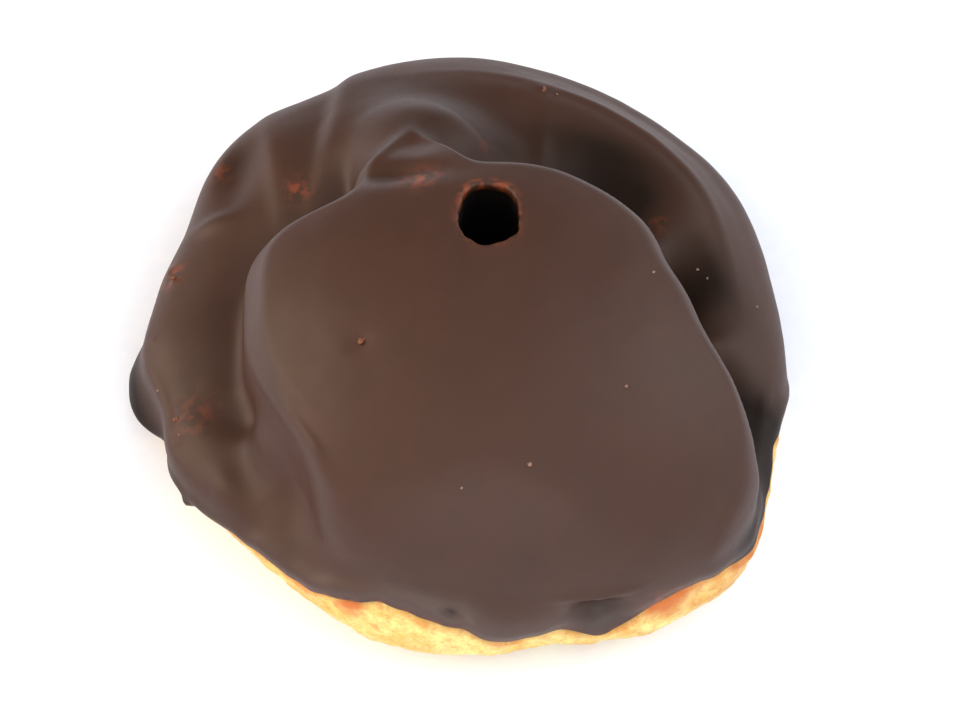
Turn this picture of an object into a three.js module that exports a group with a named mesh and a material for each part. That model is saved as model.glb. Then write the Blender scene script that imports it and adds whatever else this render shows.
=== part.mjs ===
import * as THREE from 'three';

// A choux bun dipped in chocolate, seen with its filling hole near the top.
// Millimetres, Z up, the front toward -Y, resting on a flat base at Z = 0.
const COAT_THICK = 1.3;
const COAT_CLEARANCE = 0.4;
const COLUMNS = 80;
const ROWS = 22;
const CRUST_ROWS = 8;
const STEEPEST = 0.45;
const LIP_DROP = 0.5;

// The filling hole: its axis stands upright and it is longer from front to back.
// The chocolate's rim stands a little further in than the pastry.
const HOLE = { x: 3.4, y: 4.6, pastryR: 4.45, coatR: 4.3, depth: 20 };
const HOLE_WAVES = [{ count: 2, at: 90, share: 0.16 }, { count: 3, at: 90, share: 0.04 }];
const CORE_Z = -15;
const MIDDLE_Z = 8;
const PLAN_CENTRE = { x: -0.8, y: 3.2 };

// The baked ring that the cap sits on. Swells: azimuth and half width in degrees, then millimetres outward.
const RING = { x: 0, y: 2.2, r: 41, equator: 9, up: 13, down: 15, power: 2.3 };
const RING_SWELLS = [
  { at: 172, wide: 10, out: -0.9 },
  { at: 156, wide: 11, out: -1.6 },
  { at: 132, wide: 15, out: 2.2 },
  { at: 97, wide: 20, out: 2.8 },
  { at: 82, wide: 12, out: 0.6 },
  { at: 62, wide: 22, out: 2.0 },
  { at: 34, wide: 15, out: 1.55 },
  { at: -5, wide: 10, out: 0.5 },
  { at: -40, wide: 18, out: 4.4 },
  { at: -47, wide: 6, out: -0.5 },
  { at: -57, wide: 6, out: 0.5 },
  { at: -74, wide: 9, out: -2.2 },
  { at: -100, wide: 16, out: -0.6 },
  { at: -129, wide: 8, out: 0.7 },
  { at: -132, wide: 20, out: -3.8 },
  { at: -166, wide: 8, out: -2.0 },
];
const RING_LOBES = [
  { name: 'run down to the floor', at: [-36.4, 0.4, 4], radii: [6.4, 6.6, 4.2], turn: 0, blend: 2 },
];
// A broad ridge along the ring behind: its place is a share of the ring's radius. It rises above the equator.
const RIDGE_RISE = 3;
const RIDGES = [
  { at: 45, wide: 45, share: 0.8, half: 4, rise: 1.8 },
];

// The smooth cap: a broad dome cut off by a wall that follows its plan outline, with a bevelled lip.
// The wall leans out from `leanFrom` down, most at the lower left, and the lip is rounded off at the front.
const CAP = { x: 4, y: -11, r: 28, leanFrom: 27, leanOver: 9, tuck: 6 };
const CAP_LEAN = 0.1;
const CAP_LEANS = [{ at: 195, wide: 12, out: 0.2 }];
const CAP_LIP = { bevel: 1.2, leftBevel: 1.5, leftAt: 156, leftWide: 30, round: 3 };
const CAP_FRONT = { wide: 45, round: 11, bevelLoss: 2.5 };
const CAP_SWELLS = [
  { at: 148, wide: 16, out: 6.3 },
  { at: 172, wide: 14, out: 1.9 },
  { at: 203, wide: 18, out: -3.5 },
  { at: 92, wide: 26, out: -1.3 },
  { at: 48, wide: 24, out: -1.9 },
  { at: 10, wide: 14, out: -2.9 },
  { at: -24, wide: 22, out: 5.6 },
  { at: -50, wide: 22, out: 2.5 },
  { at: 106, wide: 5, out: 8.2 },
  { at: 116, wide: 8, out: 4.6 },
  { at: 29, wide: 11, out: -2.2 },
];
const DOME = { at: [4, -4, 8], radii: [42, 37, 32], turn: 0 };
const CAP_BLEND = { behind: 4, front: 2, frontWide: 70 };
const FRONT = -90;
const TOP_LOBES = [
  { name: 'lump behind the spur', at: [-3, 25, 13.5], radii: [8.5, 8, 12.8], turn: 0, blend: 3 },
];

// The moat between ring and cap. It fades out at the front, is wider behind, and two saddles cross it.
const MOAT = { depth: 3, wide: 5, rise: 4 };
const MOAT_WIDTHS = [{ at: 64, wide: 22, out: 3.5 }];
const MOAT_SWELLS = [
  { at: 20, wide: 45, out: 3.0 },
  { at: 80, wide: 30, out: 0.5 },
  { at: -90, wide: 55, out: -3.5 },
  { at: 220, wide: 16, out: -2.0 },
  { at: 66, wide: 16, out: 5.0 },
  { at: 49, wide: 6, out: -4.0 },
  { at: 36, wide: 8, out: 2.5 },
  { at: 19.5, wide: 5.5, out: -3.0 },
  { at: 6, wide: 7, out: 0.5 },
];

// Folds: a step across the line through `at`, high on the side that `turn` points to.
const FOLDS = [
  {
    name: 'end of the back lobe', at: [-17.2, 30, 17], turn: -9, soft: 0.9,
    along: 13, reach: 22, high: 8, rise: 3.8,
  },
  {
    name: 'panel beside it', at: [-24.8, 25, 16], turn: 8, soft: 0.8,
    along: 8, reach: 7, high: 8, rise: 2.8,
  },
];

// Soft rises and hollows: half sizes in plan and height, turn in plan, millimetres of rise.
const RELIEF = [
  { name: 'left hollow', at: [-25.8, -14.3, 17.5], half: [3.6, 2.6, 6], turn: -44, rise: -1.6 },
  { name: 'left bump', at: [-29, -20, 15], half: [3.6, 2.2, 5], turn: -60, rise: 1.3 },
  { name: 'left trough', at: [-34, 0, 17], half: [2, 9, 6], turn: 0, rise: -0.8 },
  { name: 'back left hollow', at: [-28.6, 24.5, 16], half: [2.6, 5, 6], turn: 0, rise: -2.4 },
  { name: 'back left ridge', at: [-31.5, 17.5, 16], half: [3.2, 1.4, 5], turn: 10, rise: 0.9 },
  { name: 'front dent', at: [16.8, -36.2, 12.2], half: [3.5, 4, 2.7], turn: 8, rise: -3.6 },
  { name: 'front left crease', at: [-20.5, -22, 15], half: [1.8, 6, 9], turn: 5, rise: -0.3 },
  { name: 'back ridge', at: [10.6, 27, 20], half: [1.2, 5, 6], turn: 0, rise: 0.8 },
  { name: 'crease before the spur', at: [-7, 13.5, 32], half: [6, 2.2, 5], turn: -5, rise: -1.0 },
  { name: 'hollow of the spur', at: [-5.6, 20.5, 29.5], half: [3.5, 4, 5], turn: 15, rise: -1.8 },
  { name: 'back right hollow', at: [18, 23.5, 18], half: [6, 4, 6], turn: -30, rise: -2.4 },
  { name: 'ridge of the lump', at: [2.5, 27, 22], half: [5.5, 1.5, 6], turn: -33, rise: 1.0 },
  { name: 'hollow behind the lump', at: [8, 30, 20], half: [6, 3, 6], turn: -38, rise: -1.4 },
  { name: 'cap pit', at: [-11.9, -11.8, 36.5], half: [1.6, 1.3, 3], turn: 0, rise: -0.5 },
];

// Height of the chocolate's lower edge: low behind, lifted at the front, with runs.
const EDGE_Z = 4;
const EDGE_RUNS = [
  { at: -88, wide: 52, out: 8.0 },
  { at: -107, wide: 13, out: 3.6 },
  { at: -88, wide: 7, out: -1.9 },
  { at: -71.5, wide: 5, out: -4.2 },
  { at: -56, wide: 12, out: 3.6 },
  { at: -132, wide: 9, out: 1.2 },
  { at: -38, wide: 8, out: 1.0 },
  { at: -24, wide: 14, out: 3.8 },
  { at: 150, wide: 25, out: -0.8 },
  { at: 100, wide: 15, out: 0.7 },
  { at: 40, wide: 25, out: 1.0 },
  { at: 186, wide: 12, out: -3.2 },
];
const CRUST_STEP = { from: 1.5, over: 3.2, sunk: 0.1 };

const radians = (degrees) => degrees * Math.PI / 180;
const degreesOf = (y, x) => Math.atan2(y, x) * 180 / Math.PI;

function bell(angle, at, wide) {
  const d = ((angle - at + 180) % 360 + 360) % 360 - 180;
  return Math.exp(-((d / wide) ** 2));
}

function swollen(base, swells, angle) {
  return swells.reduce((sum, s) => sum + s.out * bell(angle, s.at, s.wide), base);
}

function smoothMax(a, b, k) {
  const h = Math.max(k - Math.abs(a - b), 0) / k;
  return Math.max(a, b) + h * h * k / 4;
}

const smoothMin = (a, b, k) => -smoothMax(-a, -b, k);

function turned(x, y, at, turn) {
  const c = Math.cos(radians(turn));
  const s = Math.sin(radians(turn));
  return [(x - at[0]) * c + (y - at[1]) * s, -(x - at[0]) * s + (y - at[1]) * c];
}

function ellipsoid(x, y, z, { at, radii, turn }) {
  const [u, w] = turned(x, y, at, turn);
  const q = [u, w, z - at[2]];
  const k0 = Math.hypot(...q.map((v, i) => v / radii[i]));
  const k1 = Math.hypot(...q.map((v, i) => v / radii[i] ** 2));
  return k0 * (k0 - 1) / Math.max(k1, 1e-9);
}

const ringRadius = (angle) => swollen(RING.r, RING_SWELLS, angle);

function ringField(x, y, z) {
  const rho = Math.hypot(x - RING.x, y - RING.y);
  const big = ringRadius(degreesOf(y - RING.y, x - RING.x));
  const dz = z - RING.equator;
  const tall = dz > 0 ? RING.up : RING.down;
  const n = RING.power;
  const s = ((rho / big) ** n + (Math.abs(dz) / tall) ** n) ** (1 / n);
  const plain = Math.hypot(rho, dz) * (1 - 1 / Math.max(s, 1e-6));
  return RING_LOBES.reduce((f, lobe) => smoothMin(f, ellipsoid(x, y, z, lobe), lobe.blend), plain);
}

function capField(x, y, z, angle) {
  const rho = Math.hypot(x - CAP.x, y - CAP.y);
  const tuck = CAP.tuck * (Math.max(RING.equator - z, 0) / RING.equator) ** 2;
  const drop = Math.min(Math.max(CAP.leanFrom - z, 0), CAP.leanOver);
  const lean = swollen(CAP_LEAN, CAP_LEANS, angle) * drop;
  const wall = rho - swollen(CAP.r, CAP_SWELLS, angle) - lean + tuck;
  const dome = ellipsoid(x, y, z, DOME);
  const front = bell(angle, FRONT, CAP_FRONT.wide);
  const edge = smoothMax(dome, wall, CAP_LIP.round + CAP_FRONT.round * front);
  const wide = CAP_LIP.bevel + CAP_LIP.leftBevel * bell(angle, CAP_LIP.leftAt, CAP_LIP.leftWide);
  const bevel = (dome + wall + wide * (1 - CAP_FRONT.bevelLoss * front)) / Math.SQRT2;
  return smoothMax(edge, bevel, CAP_LIP.round);
}

function relief(x, y, z) {
  let total = 0;
  for (const { at, half, turn, rise } of RELIEF) {
    const [u, w] = turned(x, y, at, turn);
    total += rise * Math.exp(-((u / half[0]) ** 2) - (w / half[1]) ** 2 - ((z - at[2]) / half[2]) ** 2);
  }
  const rho = Math.hypot(x - RING.x, y - RING.y);
  const angle = degreesOf(y - RING.y, x - RING.x);
  const upper = Math.min(Math.max((z - RING.equator) / RIDGE_RISE, 0), 1);
  for (const { at, wide, share, half, rise } of RIDGES) {
    const across = (rho - share * ringRadius(angle)) / half;
    total += rise * upper * bell(angle, at, wide) * Math.exp(-(across ** 2));
  }
  for (const { at, turn, soft, along, reach, high, rise } of FOLDS) {
    const [u, w] = turned(x, y, at, turn);
    const side = 0.5 + 0.5 * Math.tanh(u / soft);
    const fade = (Math.max(u, 0) / reach) ** 2 + (w / along) ** 2 + ((z - at[2]) / high) ** 2;
    total += rise * side * Math.exp(-fade);
  }
  return total;
}

// Negative inside the puff, zero on the chocolate's outer face.
function field(x, y, z) {
  const angle = degreesOf(y - CAP.y, x - CAP.x);
  const cap = capField(x, y, z, angle);
  const above = Math.min(Math.max((z - RING.equator) / MOAT.rise, 0), 1);
  const depth = Math.max(swollen(MOAT.depth, MOAT_SWELLS, angle), 0);
  const wide = swollen(MOAT.wide, MOAT_WIDTHS, angle);
  const moat = above * depth * Math.exp(-((Math.max(cap, 0) / wide) ** 2));
  const blend = CAP_BLEND.behind + CAP_BLEND.front * bell(angle, FRONT, CAP_BLEND.frontWide);
  let form = smoothMin(ringField(x, y, z) + moat, cap, blend);
  for (const lobe of TOP_LOBES) {
    form = smoothMin(form, ellipsoid(x, y, z, lobe), lobe.blend);
  }
  return form - relief(x, y, z);
}

// How far a ray from the hole's axis runs before it leaves the puff. It enters through the flat base.
function reachOf(azimuth, polar, z0) {
  const d = [Math.sin(polar) * Math.cos(azimuth), Math.sin(polar) * Math.sin(azimuth), Math.cos(polar)];
  let near = z0 < 0 ? -z0 / d[2] : 2;
  let far = 70;
  for (let i = 0; i < 30; i++) {
    const mid = (near + far) / 2;
    if (field(HOLE.x + mid * d[0], HOLE.y + mid * d[1], z0 + mid * d[2]) > 0) {
      far = mid;
    } else {
      near = mid;
    }
  }
  return (near + far) / 2;
}

const unit = (vector) => vector.map((v) => v / Math.hypot(...vector));

// A point a given depth below the outer face, taken halfway between square to it and toward the middle.
function pointAt(azimuth, polar, depth) {
  const d = [Math.sin(polar) * Math.cos(azimuth), Math.sin(polar) * Math.sin(azimuth), Math.cos(polar)];
  const reach = reachOf(azimuth, polar, CORE_Z);
  const at = [HOLE.x + reach * d[0], HOLE.y + reach * d[1], CORE_Z + reach * d[2]];
  const step = 0.2;
  const slope = [0, 1, 2].map((axis) => {
    const ahead = at.map((v, k) => (k === axis ? v + step : v));
    const behind = at.map((v, k) => (k === axis ? v - step : v));
    return field(...ahead) - field(...behind);
  });
  const normal = unit(slope);
  const middle = unit([at[0] - HOLE.x, at[1] - HOLE.y, at[2] - MIDDLE_Z]);
  const out = unit(normal.map((v, axis) => v + middle[axis]));
  const facing = normal.reduce((sum, v, axis) => sum + v * out[axis], 0);
  return at.map((v, axis) => v - out[axis] * depth / Math.max(facing, STEEPEST));
}

const azimuths = Array.from({ length: COLUMNS }, (_, i) => 2 * Math.PI * i / COLUMNS);
const ringOf = (make) => azimuths.map((azimuth, column) => make(azimuth, column));

function holeRadius(base, azimuth) {
  const degrees = azimuth * 180 / Math.PI;
  const waves = HOLE_WAVES.map((w) => w.share * Math.cos(radians(w.count * (degrees - w.at))));
  return base * (1 + waves.reduce((a, b) => a + b, 0));
}

const TOP_Z = CORE_Z + reachOf(0, 0, CORE_Z);
const holePolar = (base, azimuth) => Math.atan2(holeRadius(base, azimuth), TOP_Z - CORE_Z);

// The ray that leaves the puff at a given height.
function polarAtHeight(azimuth, height) {
  let high = radians(20);
  let low = radians(72);
  for (let i = 0; i < 24; i++) {
    const mid = (high + low) / 2;
    if (CORE_Z + reachOf(azimuth, mid, CORE_Z) * Math.cos(mid) > height) {
      high = mid;
    } else {
      low = mid;
    }
  }
  return (high + low) / 2;
}

const edgeHeights = azimuths.map((a) => swollen(EDGE_Z, EDGE_RUNS, a * 180 / Math.PI));
const edges = azimuths.map((a, k) => polarAtHeight(a, edgeHeights[k]));

// Rows from hole to edge are shared out by the mean length of the surface, so that none is starved.
function rowShares(rows) {
  const samples = 160;
  const first = holePolar(HOLE.coatR, 0);
  const last = edges[0];
  const lengths = [0];
  let before = null;
  for (let i = 0; i < samples; i++) {
    const polar = first + (last - first) * i / (samples - 1);
    const ring = azimuths.filter((_, k) => k % 3 === 0).map((a) => pointAt(a, polar, 0));
    if (before) {
      const steps = ring.map((p, k) => Math.hypot(...p.map((v, axis) => v - before[k][axis])));
      lengths.push(lengths[i - 1] + steps.reduce((a, b) => a + b, 0) / steps.length);
    }
    before = ring;
  }
  return Array.from({ length: rows + 1 }, (_, row) => {
    const wanted = lengths[samples - 1] * row / rows;
    let i = 1;
    while (i < samples - 1 && lengths[i] < wanted) {
      i += 1;
    }
    const part = (wanted - lengths[i - 1]) / (lengths[i] - lengths[i - 1]);
    return Math.min((i - 1 + part) / (samples - 1), 1);
  });
}

const SHARES = rowShares(ROWS);

function coveredPolar(column, share) {
  const first = holePolar(HOLE.coatR, azimuths[column]);
  return first + (edges[column] - first) * share;
}

// A closed skin over rings of points, either round in a loop or closed at both ends by a middle point.
// From the ring numbered `returning` on, the rings run back, and the quads split along the other diagonal.
function closedSkin(rings, ends, returning = rings.length) {
  const points = rings.flat();
  const faces = [];
  const index = (ring, column) => (ring % rings.length) * COLUMNS + column % COLUMNS;
  const bands = ends ? rings.length - 1 : rings.length;
  for (let i = 0; i < bands; i++) {
    for (let j = 0; j < COLUMNS; j++) {
      const a = index(i, j);
      const b = index(i, j + 1);
      const c = index(i + 1, j);
      const d = index(i + 1, j + 1);
      faces.push(...(i < returning ? [a, c, d, a, d, b] : [a, c, b, b, c, d]));
    }
  }
  if (ends) {
    const first = points.push(ends[0]) - 1;
    const last = points.push(ends[1]) - 1;
    for (let j = 0; j < COLUMNS; j++) {
      faces.push(first, index(0, j), index(0, j + 1));
      faces.push(last, index(rings.length - 1, j + 1), index(rings.length - 1, j));
    }
  }
  const flat = points.flatMap(([x, y, z]) => [x - PLAN_CENTRE.x, y - PLAN_CENTRE.y, z]);
  const geometry = new THREE.BufferGeometry();
  geometry.setAttribute('position', new THREE.Float32BufferAttribute(flat, 3));
  geometry.setIndex(faces);
  geometry.computeVertexNormals();
  return geometry;
}

function part(name, geometry, color, roughness) {
  const mesh = new THREE.Mesh(geometry, new THREE.MeshStandardMaterial({ color, roughness }));
  mesh.name = name;
  mesh.material.name = name;
  return mesh;
}

// The chocolate: outer face from the hole's rim to the lower edge, a rounded edge and the inner face back up.
function chocolateCoating() {
  const face = (depth) => SHARES.map((s) => ringOf((a, k) => pointAt(a, coveredPolar(k, s), depth)));
  const outer = face(0);
  const inner = face(COAT_THICK);
  const lip = ringOf((a, k) => pointAt(a, polarAtHeight(a, edgeHeights[k] - LIP_DROP), COAT_THICK / 2));
  return closedSkin([...outer, lip, ...inner.reverse()], null, outer.length + 1);
}

// The pastry: hole floor and wall, the face under the chocolate, the bare crust below it and the flat base.
function chouxBun() {
  const under = COAT_THICK + COAT_CLEARANCE;
  const floorZ = TOP_Z - HOLE.depth;
  const wallPoint = (a, z) => {
    const r = holeRadius(HOLE.pastryR, a);
    return [HOLE.x + r * Math.cos(a), HOLE.y + r * Math.sin(a), z];
  };
  const rim = ringOf((a) => wallPoint(a, pointAt(a, holePolar(HOLE.pastryR, a), under)[2]));
  const wall = [0, 1 / 3, 2 / 3].map((share) => ringOf((a) => wallPoint(a, floorZ + HOLE.depth * share)));
  const covered = SHARES.slice(1).map((s) => ringOf((a, k) => pointAt(a, coveredPolar(k, s), under)));
  const crustDepth = (drop) => {
    const t = Math.min(Math.max((drop - CRUST_STEP.from) / CRUST_STEP.over, 0), 1);
    return under + (CRUST_STEP.sunk - under) * t * t * (3 - 2 * t);
  };
  const crust = Array.from({ length: CRUST_ROWS - 1 }, (_, i) => ringOf((a, k) => {
    const drop = edgeHeights[k] * (i + 1) / CRUST_ROWS;
    return pointAt(a, polarAtHeight(a, edgeHeights[k] - drop), crustDepth(drop));
  }));
  const foot = ringOf((a, k) => {
    const r = reachOf(a, Math.PI / 2, 0) - crustDepth(edgeHeights[k]);
    return [HOLE.x + r * Math.cos(a), HOLE.y + r * Math.sin(a), 0];
  });
  const rings = [...wall, rim, ...covered, ...crust, foot];
  return closedSkin(rings, [[HOLE.x, HOLE.y, floorZ], [HOLE.x, HOLE.y, 0]]);
}

const puff = new THREE.Group();
puff.name = 'cream_puff';
puff.add(part('choux_bun', chouxBun(), 0xe9b96b, 0.7));
puff.add(part('chocolate_coating', chocolateCoating(), 0x3f2a22, 0.4));

export default puff;
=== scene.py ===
"""Chocolate-dipped cream puff: a choux bun under a dark coat, with its filling hole, crumbs and stage."""
import math

import bpy
import numpy as np
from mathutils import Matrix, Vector


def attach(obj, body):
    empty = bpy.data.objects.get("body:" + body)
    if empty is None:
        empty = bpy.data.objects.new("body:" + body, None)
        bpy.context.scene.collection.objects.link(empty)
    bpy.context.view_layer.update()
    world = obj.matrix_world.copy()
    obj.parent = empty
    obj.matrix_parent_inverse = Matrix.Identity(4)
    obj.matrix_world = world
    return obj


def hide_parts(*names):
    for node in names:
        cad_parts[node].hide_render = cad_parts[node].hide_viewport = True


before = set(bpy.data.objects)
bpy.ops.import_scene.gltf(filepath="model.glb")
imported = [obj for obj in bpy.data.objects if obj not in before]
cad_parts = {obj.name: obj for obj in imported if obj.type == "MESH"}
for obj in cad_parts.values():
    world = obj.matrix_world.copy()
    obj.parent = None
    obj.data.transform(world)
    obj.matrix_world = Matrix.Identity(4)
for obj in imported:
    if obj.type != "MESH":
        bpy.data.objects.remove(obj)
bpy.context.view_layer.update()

bl_info = {
    "name": "Chocolate Cream Puff",
    "version": (1, 0, 0),
    "blender": (4, 5, 0),
    "location": "3D View > Sidebar > Cream Puff",
    "description": "Builds a choux bun dipped in chocolate, its crumbs and a plain studio stage",
    "category": "Add Mesh",
}

MM = 0.001

# The form, in millimetres about the middle of the ring, as the solids have it.
HOLE = {"x": 3.4, "y": 4.6}
# Waves of the hole's rim: count round it, azimuth of a crest, share of the radius.
HOLE_WAVES = [
    (2, 90, 0.16), (3, 90, 0.04), (1, 75, 0.10), (5, 40, 0.020), (7, 10, 0.014), (11, 65, 0.012),
    (17, 20, 0.006),
]
# Rays that find the outer face start on the hole's axis at this height, and depths go toward the middle.
CORE_Z = -15.0
MIDDLE_Z = 8.0
# The middle of the solids' plan, which sits at the frame's origin.
PLAN_CENTRE = (-0.8, 3.2)
# Least cosine between the face's normal and the way to the middle, so that no depth runs away.
STEEPEST = 0.45
# The search for the outer face: farthest point of a ray, polar angles in degrees, heights, and slope step.
SEARCH = {"far": 70.0, "polar": (20, 72), "heights": (6.0, 46.0), "near": 2.0, "step": 0.2}
# How often each search halves its way, and the coarse grid that spaces the rows: degrees, steps.
HALVINGS = {"reach": 20, "polar": 18, "height": 24}
ROW_SURVEY = {"degrees": 12.0, "steps": 160}

# The ring, and swells of its radius: azimuth, width, rise. Other tables of swells have the same form.
RING = {"x": 0.0, "y": 2.2, "r": 41.0, "equator": 9.0, "up": 13.0, "down": 15.0, "power": 2.3}
RING_SWELLS = [
    (172, 10, -0.9), (156, 11, -1.6), (132, 15, 2.2), (97, 20, 2.8), (82, 12, 0.6), (62, 22, 2.0),
    (34, 15, 1.55), (-5, 10, 0.5), (-40, 18, 4.4), (-47, 6, -0.5), (-57, 6, 0.5), (-74, 9, -2.2),
    (-100, 16, -0.6), (-129, 8, 0.7), (-132, 20, -3.8), (-166, 8, -2.0),
]
# Lobes: place, radii, turn in plan, blend.
RING_LOBES = [((-36.2, 0.2, 4.0), (6.1, 7.2, 4.2), 14, 3.5)]

# The smooth cap: middle, radius, height below which its wall leans out and how far down, tuck at the floor.
CAP = {"x": 4.0, "y": -11.0, "r": 28.0, "lean_from": 27.0, "lean_over": 9.0, "tuck": 6.0}
# Slope of that lean, and swells of it.
CAP_LEAN = 0.06
CAP_LEANS = [(195, 12, 0.20)]
# The cap's lip: its bevel, wider on the left, and its rounding, wide in front, where the bevel fades out.
CAP_LIP = {"bevel": 1.2, "left_bevel": 1.5, "bevel_round": 0.5,
           "round": 1.0, "front_round": 13.0, "front_fade": 2.5}
# Azimuth and width of the cap's rounded front, of its soft foot in front and of the wide bevel on the left.
CAP_FRONT = (-90, 45)
CAP_FRONT_FOOT = (-90, 70)
CAP_LEFT = (156, 30)
CAP_SWELLS = [
    (148, 16, 6.3), (172, 14, 1.9), (203, 18, -3.5), (92, 26, -1.3), (48, 24, -1.9), (10, 14, -2.9),
    (-24, 22, 5.6), (-50, 22, 2.5), (106, 7, 7.0), (116, 9, 5.2), (29, 11, -2.2),
]
# The dome over the cap: middle, radii, turn. Then the blend of cap and ring, and lobes on top.
DOME = ((4.0, -4.0, 8.0), (42.0, 37.0, 32.0), 0)
CAP_BLEND = {"behind": 1.8, "front": 4.0}
TOP_LOBES = [((-5.0, 24.0, 13.5), (9.5, 8.5, 14.4), 0, 5.5)]

# The moat round the cap: depth, width, and height above the equator over which it fades in.
MOAT = {"depth": 3.0, "wide": 5.0, "rise": 4.0}
MOAT_WIDTHS = [(64, 22, 3.5)]
MOAT_SWELLS = [
    (20, 45, 3.0), (80, 30, 0.5), (-90, 55, -3.5), (209, 20, -2.6),
    (66, 16, 5.0), (49, 4.5, -4.5), (36, 8, 2.5), (19.5, 3.5, -3.5), (6, 7, 0.5),
]

# Folds: place, turn of the high side, softness, length, reach, height, rise.
FOLDS = [
    ((-17.2, 30.5, 17.0), -9, 1.0, 11.5, 22.0, 8.0, 3.5),
    ((-24.8, 25.0, 16.0), 8, 1.0, 8.0, 7.0, 8.0, 2.3),
    ((2.3, 26.3, 23.5), -123, 0.8, 4.5, 5.0, 6.0, 0.9),
]
# Soft rises and hollows: place, half sizes, turn in plan, rise.
RELIEF = [
    ((-27.0, -11.6, 17.0), (4.2, 2.6, 6.0), -28, -1.8),
    ((-29.0, -20.0, 15.0), (3.6, 2.2, 5.0), -60, 1.3),
    ((-23.8, -16.5, 18.0), (6.5, 2.8, 5.0), -60, 2.0),
    ((-34.0, 0.0, 17.0), (3.5, 9.0, 6.0), 0, -0.7),
    ((-28.6, 24.5, 16.0), (2.6, 5.0, 6.0), 0, -2.4),
    ((-31.5, 17.5, 16.0), (3.2, 1.4, 5.0), 10, 0.9),
    ((16.8, -36.2, 12.2), (3.5, 4.0, 2.7), 8, -3.6),
    ((-20.5, -22.0, 15.0), (1.8, 6.0, 9.0), 5, -0.3),
    ((10.6, 27.0, 20.0), (1.2, 5.0, 6.0), 0, 0.8),
    ((-7.0, 13.5, 32.0), (6.0, 2.2, 5.0), -5, -1.3),
    ((-5.6, 20.5, 29.5), (3.5, 4.5, 5.0), 15, -0.7),
    ((18.0, 23.5, 18.0), (6.0, 4.0, 6.0), -30, -2.4),
    ((8.0, 30.0, 20.0), (6.0, 3.0, 6.0), -38, -1.4),
    ((-11.9, -11.8, 36.5), (1.6, 1.3, 3.0), 0, -0.25),
]

# The coat's lower edge: its height behind, and swells of it.
EDGE_Z = 4.0
EDGE_RUNS = [
    (-88, 52, 8.0), (-107, 13, 3.6), (-85.5, 7.5, -2.3), (-71.5, 5, -4.2), (-56, 12, 3.6),
    (-135, 11, 2.0), (-38, 8, 1.0), (-22, 12, 4.9), (150, 25, -0.8), (100, 15, 0.7), (40, 25, 1.0),
    (186, 12, -3.2),
]
# Small waves of the lower edge: count, place, height.
EDGE_WAVES = [(19, 40, 0.20), (31, 10, 0.16), (47, 75, 0.12), (73, 5, 0.08)]

# The bead along the chocolate's edge: height of its crest above the edge, half width, rise.
EDGE_BEAD = {"above": 1.6, "half": 1.2, "rise": 0.45}

# Broad ridges along the ring: azimuth, width, share of its radius, half width, rise. They fade in upward.
RIDGES = [(45, 45, 0.80, 4.0, 1.8)]
RIDGE_RISE = 3.0

# Crisp ridges and creases, too fine for the solids' facets, in the same form as the soft ones.
FINE_RELIEF = [
    ((-10.2, 18.8, 29.8), (6.5, 1.2, 6.0), 48, 0.6),
    ((-4.2, 21.4, 28.8), (3.2, 1.0, 6.0), -46, 0.3),
    ((-19.6, -19.6, 27.5), (6.5, 1.0, 6.0), -57, 1.3),
    ((33.6, -25.3, 17.0), (7.0, 0.9, 5.0), 61, 0.5),
    ((35.8, -26.6, 13.0), (7.0, 1.6, 4.0), 61, -0.7),
    ((38.0, -8.2, 12.4), (3.5, 0.7, 4.0), 80, 0.5),
    ((-0.9, -36.9, 15.0), (1.2, 0.6, 0.7), -22, -1.4),
    ((16.5, -35.6, 16.6), (4.5, 2.5, 0.9), 8, 0.7),
]
# Crisp crests along the ring, in the same form as its ridges.
CRESTS = [(50, 30, 0.86, 0.8, 0.8), (50, 30, 0.93, 1.6, -0.8), (194, 16, 0.985, 0.8, 0.5)]

# Where the coat is thin enough for the crust to warm its colour: place, half size, strength.
THIN_SPOTS = [
    ((-20.7, 20.1, 20.1), 1.7, 0.8),
    ((-30.9, 27.4, 13.4), 1.8, 0.8),
    ((-4.9, 12.0, 35.4), 2.2, 0.95),
    ((2.3, 24.7, 23.0), 1.6, 0.6),
    ((-36.6, 11.1, 13.7), 1.7, 0.8),
    ((-33.6, -9.8, 15.9), 2.6, 0.6),
    ((24.8, 16.0, 18.3), 1.6, 0.6),
    ((32.2, -2.8, 19.0), 1.4, 0.6),
    ((24.2, -34.1, 12.5), 1.9, 1.0),
    ((27.0, -33.2, 12.2), 1.7, 0.9),
]
# Spots of painted shade on the coat beside the moat's own: place, half size, strength.
SHADE_SPOTS = [
    ((17.0, -34.9, 11.4), 3.0, 0.55),
    ((36.0, -26.0, 12.5), 3.5, 0.5),
    ((-29.2, 27.8, 14.1), 3.0, 0.7),
    ((4.0, 25.0, 21.0), 3.0, 0.4),
    ((-9.0, 13.8, 32.5), 2.6, 0.3),
    ((-41.0, 0.0, 4.5), 5.0, 1.0),
    ((-0.9, -36.6, 14.9), 0.65, 0.9),
]
# Painted shade along the moat: azimuth about the cap, width, reach from its wall, strength. Then start and
# fade.
SHADE_ARCS = [
    (68, 14, 13.5, 0.95), (58, 6, 9.5, 0.45), (34, 10, 8.5, 0.95), (3, 10, 6.0, 0.85), (172, 20, 6.5, 0.30),
    (98, 18, 18.0, 0.28),
]
SHADE_START = 1.5
SHADE_FADE = 3.2
# Painted shade at the foot of the coat: azimuth about the hole, width, strength.
FOOT_SHADES = [(193, 24, 0.8), (-32, 16, 0.8)]
FOOT_SHADE_FADE = 4.0
# Where the bare crust has browned: place, half size, strength.
BAKED_SPOTS = [
    ((-13.4, -34.9, 12.0), 2.0, 0.8), ((24.9, -34.1, 11.8), 2.6, 0.9), ((29.3, -32.2, 10.5), 3.5, 0.3),
    ((34.5, -27.5, 10.0), 4.0, 0.35), ((37.2, -22.4, 9.0), 4.0, 0.25), ((-19.5, -31.0, 9.5), 3.0, 0.3),
]
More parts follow.
